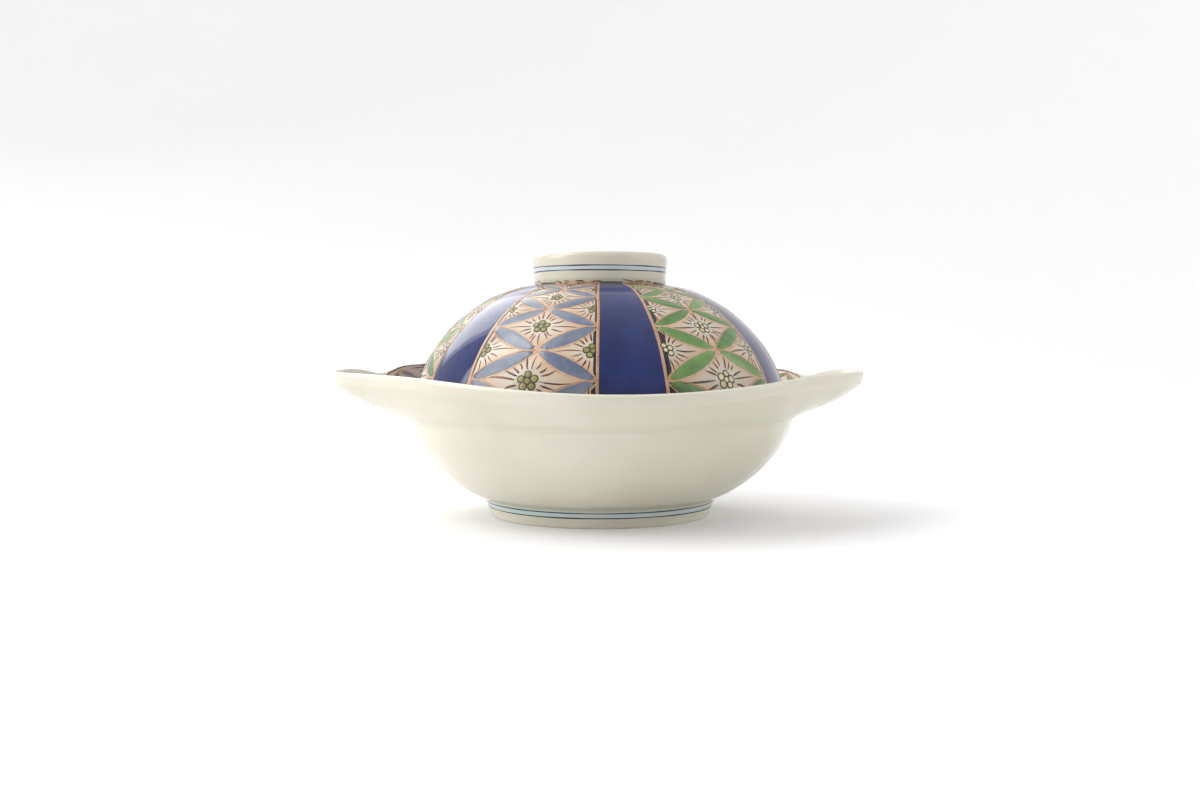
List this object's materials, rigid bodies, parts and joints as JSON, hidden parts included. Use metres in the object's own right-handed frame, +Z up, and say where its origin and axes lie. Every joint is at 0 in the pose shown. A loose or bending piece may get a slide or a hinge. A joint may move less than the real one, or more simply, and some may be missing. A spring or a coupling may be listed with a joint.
{
  "type": "lidded rice bowl",
  "caption": "Footed porcelain rice bowl with a flared rim pulled out into opposite pointed ears, and a domed lift-off lid with a ring knob.",
  "frame": {"origin": "centre of the circle on which the bowl's foot stands", "axes": "+Z up through the knob, X from ear to ear, Y across the bowl"},
  "size_m": [0.1854, 0.146, 0.09],
  "materials": {
    "bowl_glaze": "glossy pale celadon glaze",
    "lid_glaze": "glossy cream glaze",
    "cobalt_band": "glossy cobalt blue under the glaze",
    "pale_blue_petal": "glossy grey-blue painted petals",
    "green_petal": "glossy green enamel petals",
    "gold_line": "fired gold-copper line, satin",
    "red_stroke": "thin iron-red enamel strokes",
    "flower_enamel": "raised olive-yellow enamel dots",
    "flower_outline": "dark olive enamel outline",
    "ring_line": "thin grey-blue lines under the glaze"
  },
  "bodies": {
    "bowl": {"bowl": "bowl_glaze"},
    "lid": {"lid": "lid_glaze"}
  },
  "joints": [
    {"name": "lid_lift", "type": "slide", "parent": "bowl", "child": "lid", "axis": [0, 0, 1], "range_m": [0, 0.06]}
  ]
}
